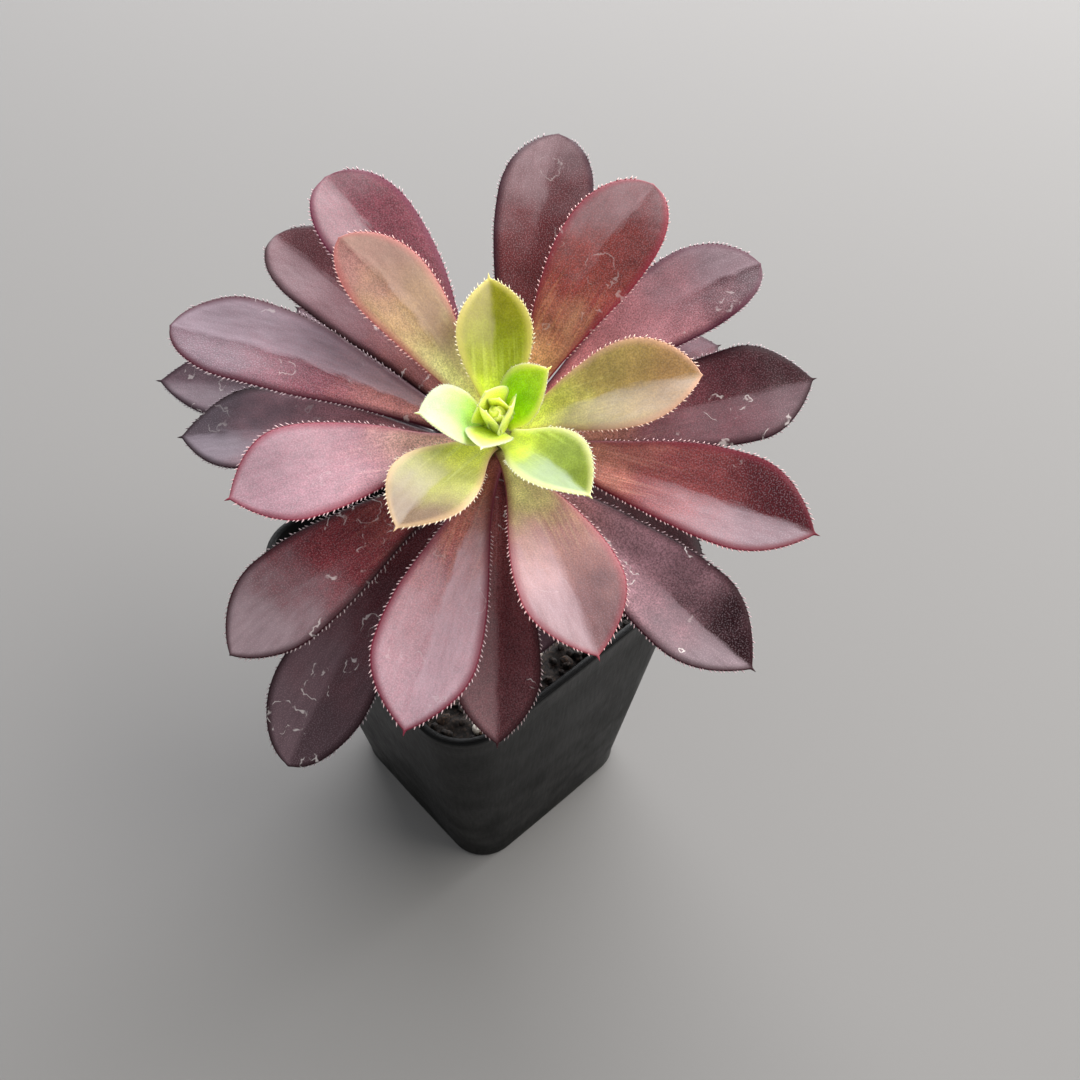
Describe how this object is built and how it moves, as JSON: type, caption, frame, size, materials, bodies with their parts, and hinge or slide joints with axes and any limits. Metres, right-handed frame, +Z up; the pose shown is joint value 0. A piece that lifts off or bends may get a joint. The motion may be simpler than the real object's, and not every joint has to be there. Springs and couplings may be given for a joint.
{
  "type": "potted aeonium",
  "caption": "Young dark aeonium succulent: a leaning rosette of spoon-shaped leaves on a short stem, green at the heart and near black outside, in a small square black pot.",
  "frame": {"origin": "centre of the pot's base, on the surface that it stands on", "axes": "+Z up; X and Y along the sides of the square pot; the rosette leans between +X and -Y"},
  "size_m": [0.1287, 0.117, 0.1492],
  "materials": {
    "pot_plastic": "black thin-walled polypropylene with a soft sheen",
    "potting_mix": "moist dark peat with pumice and baked clay granules",
    "stem_bark": "corky grey-brown skin with leaf scars",
    "growing_tip": "fresh yellow-green leaf skin, satin",
    "leaf_green": "green leaf skin with pale edges, satin",
    "leaf_olive": "olive to bronze leaf skin with pink-red edges, satin",
    "leaf_wine": "wine-red leaf skin with a pink-grey sheen, satin",
    "leaf_dark": "dark aubergine to near-black leaf skin, satin"
  },
  "bodies": {
    "root": {"pot": "pot_plastic", "soil": "potting_mix", "stem": "stem_bark", "growing_tip": "growing_tip", "leaf_01": "leaf_green", "leaf_02": "leaf_green", "leaf_03": "leaf_green", "leaf_04": "leaf_olive", "leaf_05": "leaf_olive", "leaf_06": "leaf_olive", "leaf_07": "leaf_wine", "leaf_08": "leaf_wine", "leaf_09": "leaf_wine", "leaf_10": "leaf_wine", "leaf_11": "leaf_wine", "leaf_12": "leaf_wine", "leaf_13": "leaf_wine", "leaf_14": "leaf_dark", "leaf_15": "leaf_dark", "leaf_16": "leaf_dark", "leaf_17": "leaf_dark", "leaf_18": "leaf_dark", "leaf_19": "leaf_dark", "leaf_20": "leaf_dark", "leaf_21": "leaf_dark", "leaf_22": "leaf_dark", "leaf_23": "leaf_dark", "leaf_24": "leaf_dark", "leaf_25": "leaf_dark", "leaf_26": "leaf_dark"}
  },
  "joints": []
}
